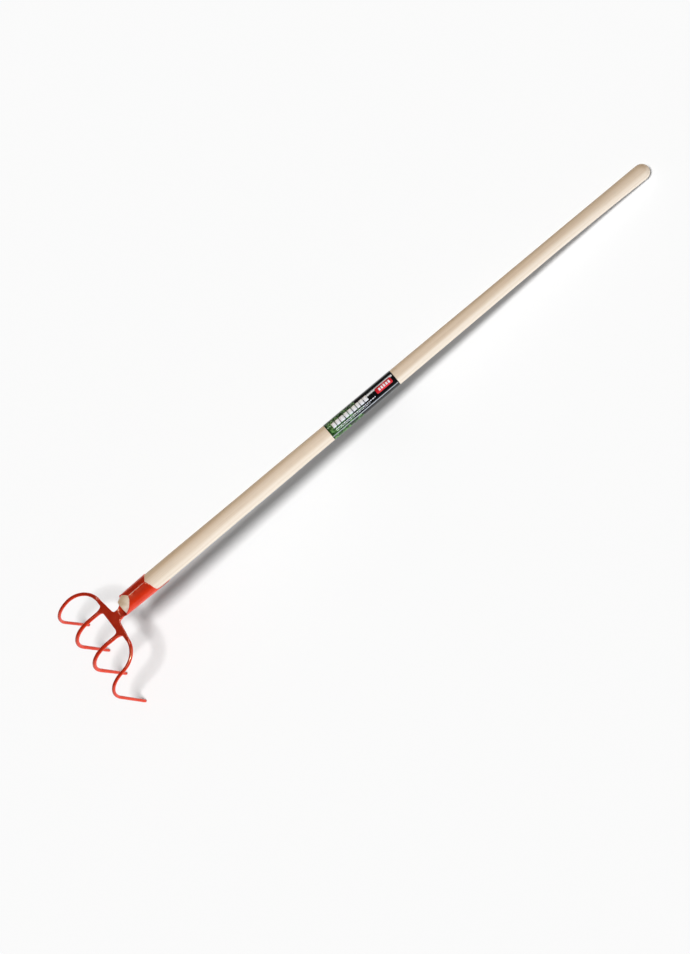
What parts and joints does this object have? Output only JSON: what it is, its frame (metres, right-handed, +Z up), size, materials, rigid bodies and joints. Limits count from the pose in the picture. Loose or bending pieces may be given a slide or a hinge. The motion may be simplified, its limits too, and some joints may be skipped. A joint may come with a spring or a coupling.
{
  "type": "hand cultivator",
  "caption": "Long-handled hand cultivator: a forged head with hooked round tines on a crossbar, rolled open socket, turned wooden handle with a printed sleeve.",
  "frame": {"origin": "on the ground under the middle of the tool's bounding box, with the tool lying on its tine tips and the butt of its handle", "axes": "+X from the head towards the butt of the handle, +Y across the crossbar to the left of someone looking along +X, +Z up"},
  "size_m": [1.529, 0.2326, 0.177],
  "materials": {
    "wood": "sanded, unvarnished",
    "printed_film": "glossy printed film",
    "red_enamel": "gloss enamel over forged steel",
    "nail_steel": "plain steel"
  },
  "bodies": {
    "root": {"handle": "wood", "label_sleeve": "printed_film", "socket": "red_enamel", "neck_crossbar": "red_enamel", "tine_inner_left": "red_enamel", "tine_inner_right": "red_enamel", "tine_outer_left": "red_enamel", "tine_outer_right": "red_enamel", "socket_nail": "nail_steel"}
  },
  "joints": []
}
